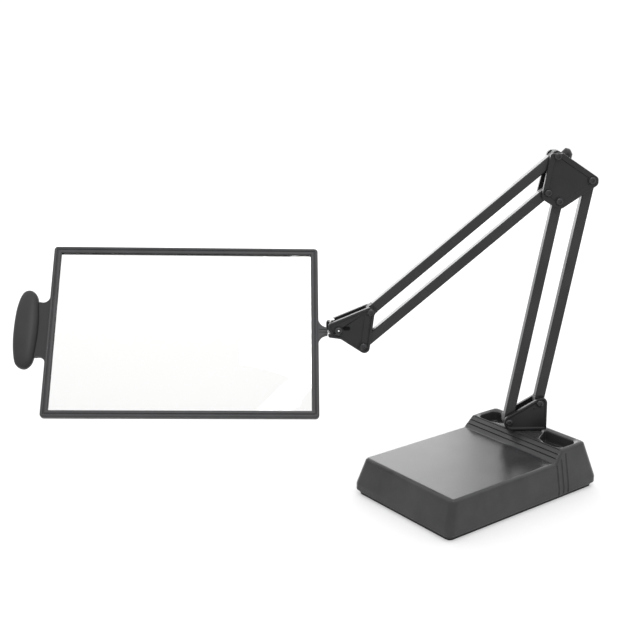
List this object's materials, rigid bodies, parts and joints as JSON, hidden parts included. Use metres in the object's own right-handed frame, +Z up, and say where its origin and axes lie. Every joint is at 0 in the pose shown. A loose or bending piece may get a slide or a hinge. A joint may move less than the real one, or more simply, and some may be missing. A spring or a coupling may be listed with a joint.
{
  "type": "desk page magnifier",
  "caption": "Framed rectangular magnifying lens on a jointed parallel-link arm with a swivelling bracket and a weighted base with pen trays.",
  "frame": {"origin": "centre of the base's underside, where its non-slip pad rests on the table", "axes": "+Z up, +Y along the base's long side towards its raised pen trays, +X along the base's short side so that the arm reaches towards -X and -Y"},
  "size_m": [0.3782, 0.4698, 0.3262],
  "materials": {
    "base_plastic": "satin",
    "frame_plastic": "satin",
    "bracket_plastic": "satin",
    "tube_paint": "satin",
    "iron": "matte",
    "steel": "satin",
    "black_steel": "satin",
    "plug_nylon": "matte",
    "bushing_nylon": "satin",
    "rubber": "matte",
    "acrylic": "polished"
  },
  "bodies": {
    "base": {"base_shell": "base_plastic", "bottom_plate": "black_steel", "non_slip_pad": "rubber", "ballast": "iron", "base_screw_1": "steel", "base_screw_2": "steel", "base_screw_3": "steel", "base_screw_4": "steel", "swivel_bushing": "bushing_nylon"},
    "turret": {"base_bracket": "bracket_plastic", "swivel_bolt": "steel", "swivel_washer": "steel", "swivel_nut": "steel", "base_front_pivot_bolt": "black_steel", "base_front_pivot_nut": "black_steel", "base_rear_pivot_bolt": "black_steel", "base_rear_pivot_nut": "black_steel"},
    "lower_arm": {"lower_arm_tube": "tube_paint", "lower_arm_plug_start": "plug_nylon", "lower_arm_plug_end": "plug_nylon", "lower_arm_spring": "steel"},
    "lower_link": {"lower_link_tube": "tube_paint", "lower_link_plug_start": "plug_nylon", "lower_link_plug_end": "plug_nylon"},
    "elbow": {"elbow_near_cheek": "bracket_plastic", "elbow_far_cheek": "bracket_plastic", "elbow_lower_front_bolt": "black_steel", "elbow_lower_front_nut": "black_steel", "elbow_lower_rear_bolt": "black_steel", "elbow_lower_rear_nut": "black_steel", "elbow_upper_low_bolt": "black_steel", "elbow_upper_low_nut": "black_steel", "elbow_upper_top_bolt": "black_steel", "elbow_upper_top_nut": "black_steel"},
    "upper_arm": {"upper_arm_tube": "tube_paint", "upper_arm_plug_start": "plug_nylon", "upper_arm_plug_end": "plug_nylon", "upper_arm_spring": "steel"},
    "upper_link": {"upper_link_tube": "tube_paint", "upper_link_plug_start": "plug_nylon", "upper_link_plug_end": "plug_nylon"},
    "head": {"head_bracket": "bracket_plastic", "head_low_bolt": "black_steel", "head_low_nut": "black_steel", "head_top_bolt": "black_steel", "head_top_nut": "black_steel", "clamp_bolt": "black_steel", "clamp_nut": "black_steel"},
    "knuckle": {"knuckle": "bracket_plastic", "knuckle_screw": "steel"},
    "lens": {"lens_frame": "frame_plastic", "lens": "acrylic", "lens_retainer": "frame_plastic", "lens_pin": "steel", "grip_front": "frame_plastic", "grip_back": "frame_plastic", "grip_screw_1": "steel", "grip_screw_2": "steel"}
  },
  "joints": [
    {"name": "base_swivel", "type": "hinge", "parent": "base", "child": "turret", "pos_m": [0, 0.066, 0.05], "axis": [0, 0, 1], "continuous": true},
    {"name": "lower_arm_tilt", "type": "hinge", "parent": "turret", "child": "lower_arm", "pos_m": [-0.01015, 0.0515, 0.0574], "axis": [0.8192, -0.5736, 0], "range_deg": [-15, 25]},
    {"name": "lower_link_tilt", "type": "hinge", "parent": "turret", "child": "lower_link", "pos_m": [0.00683, 0.07575, 0.077], "axis": [0.8192, -0.5736, 0], "range_deg": [-15, 25]},
    {"name": "elbow_level", "type": "hinge", "parent": "lower_arm", "child": "elbow", "pos_m": [0.01105, 0.08179, 0.27833], "axis": [0.8192, -0.5736, 0], "range_deg": [-25, 15]},
    {"name": "upper_arm_tilt", "type": "hinge", "parent": "elbow", "child": "upper_arm", "pos_m": [0.00476, 0.0728, 0.2865], "axis": [0.8192, -0.5736, 0], "range_deg": [-50, 12]},
    {"name": "upper_link_tilt", "type": "hinge", "parent": "elbow", "child": "upper_link", "pos_m": [0.00889, 0.0787, 0.3205], "axis": [0.8192, -0.5736, 0], "range_deg": [-50, 12]},
    {"name": "head_level", "type": "hinge", "parent": "upper_arm", "child": "head", "pos_m": [-0.09395, -0.06817, 0.13847], "axis": [0.8192, -0.5736, 0], "range_deg": [-12, 50]},
    {"name": "lens_tilt", "type": "hinge", "parent": "head", "child": "knuckle", "pos_m": [-0.10762, -0.0877, 0.15433], "axis": [0.8192, -0.5736, 0], "range_deg": [-20, 20]},
    {"name": "lens_roll", "type": "hinge", "parent": "knuckle", "child": "lens", "pos_m": [-0.11856, -0.10332, 0.1513], "axis": [-0.5735, -0.819, 0.0192], "range_deg": [-70, 52]}
  ],
  "couplings": [
    {"joint": "lower_link_tilt", "follows": "lower_arm_tilt", "ratio": 1},
    {"joint": "elbow_level", "follows": "lower_arm_tilt", "ratio": -1},
    {"joint": "upper_link_tilt", "follows": "upper_arm_tilt", "ratio": 1},
    {"joint": "head_level", "follows": "upper_arm_tilt", "ratio": -1}
  ]
}
